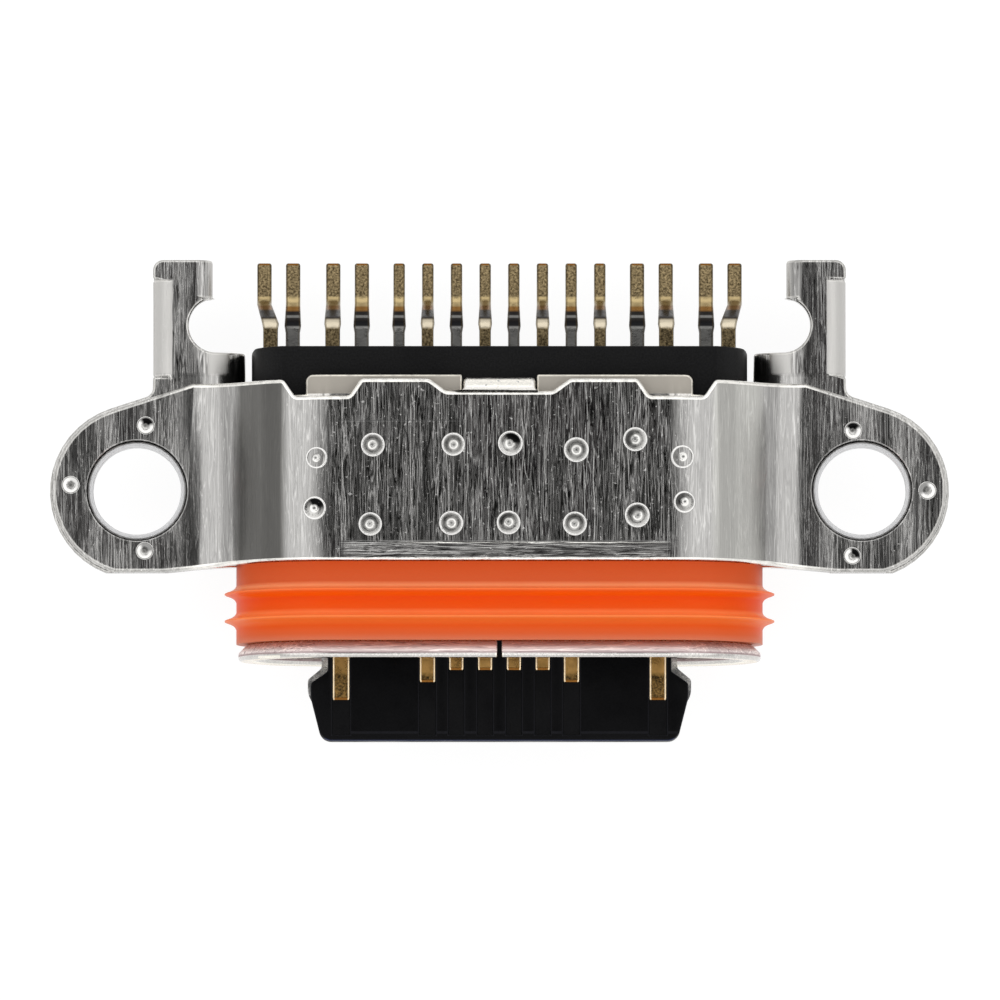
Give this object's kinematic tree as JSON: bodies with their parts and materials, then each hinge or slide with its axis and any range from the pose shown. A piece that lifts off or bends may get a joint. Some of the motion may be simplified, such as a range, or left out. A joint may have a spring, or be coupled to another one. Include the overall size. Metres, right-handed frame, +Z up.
{
  "type": "charging port connector",
  "caption": "Low sealed charging port with a flat tongue, soft ribbed ring, two clamped bracket sheets with screw ears, and gull-wing solder tails.",
  "frame": {"origin": "midway between the two screw holes, on the plane where the two bracket sheets meet, which is also the level of the plug's axis", "axes": "+X across the connector along the row of contacts, +Y from the plug side to the solder tails, +Z up, away from the circuit board"},
  "size_m": [0.0156, 0.0084, 0.0038],
  "materials": {
    "shell_steel": "bright nickel over drawn stainless sheet",
    "bracket_steel": "brushed along the plug direction, with polished bends",
    "plate_steel": "satin stamped sheet",
    "seal_silicone": "soft orange silicone, slightly waxy",
    "insulator_plastic": "black glass-filled moulding, satin",
    "carrier_plastic": "dark grey glass-filled moulding",
    "contact_gold": "gold flash over nickel on a copper alloy strip"
  },
  "bodies": {
    "root": {"shell": "shell_steel", "seal_ring": "seal_silicone", "upper_bracket": "bracket_steel", "lower_bracket": "bracket_steel", "insulator": "insulator_plastic", "upper_contact_carrier": "carrier_plastic", "lower_contact_carrier": "carrier_plastic", "stiffening_plate": "plate_steel", "upper_ground_pad": "plate_steel", "lower_ground_pad": "plate_steel", "upper_contact_1": "contact_gold", "upper_contact_2": "contact_gold", "upper_contact_3": "contact_gold", "upper_contact_4": "contact_gold", "upper_contact_5": "contact_gold", "upper_contact_6": "contact_gold", "upper_contact_7": "contact_gold", "upper_contact_8": "contact_gold", "lower_contact_1": "contact_gold", "lower_contact_2": "contact_gold", "lower_contact_3": "contact_gold", "lower_contact_4": "contact_gold", "lower_contact_5": "contact_gold", "lower_contact_6": "contact_gold", "lower_contact_7": "contact_gold", "lower_contact_8": "contact_gold"}
  },
  "joints": []
}
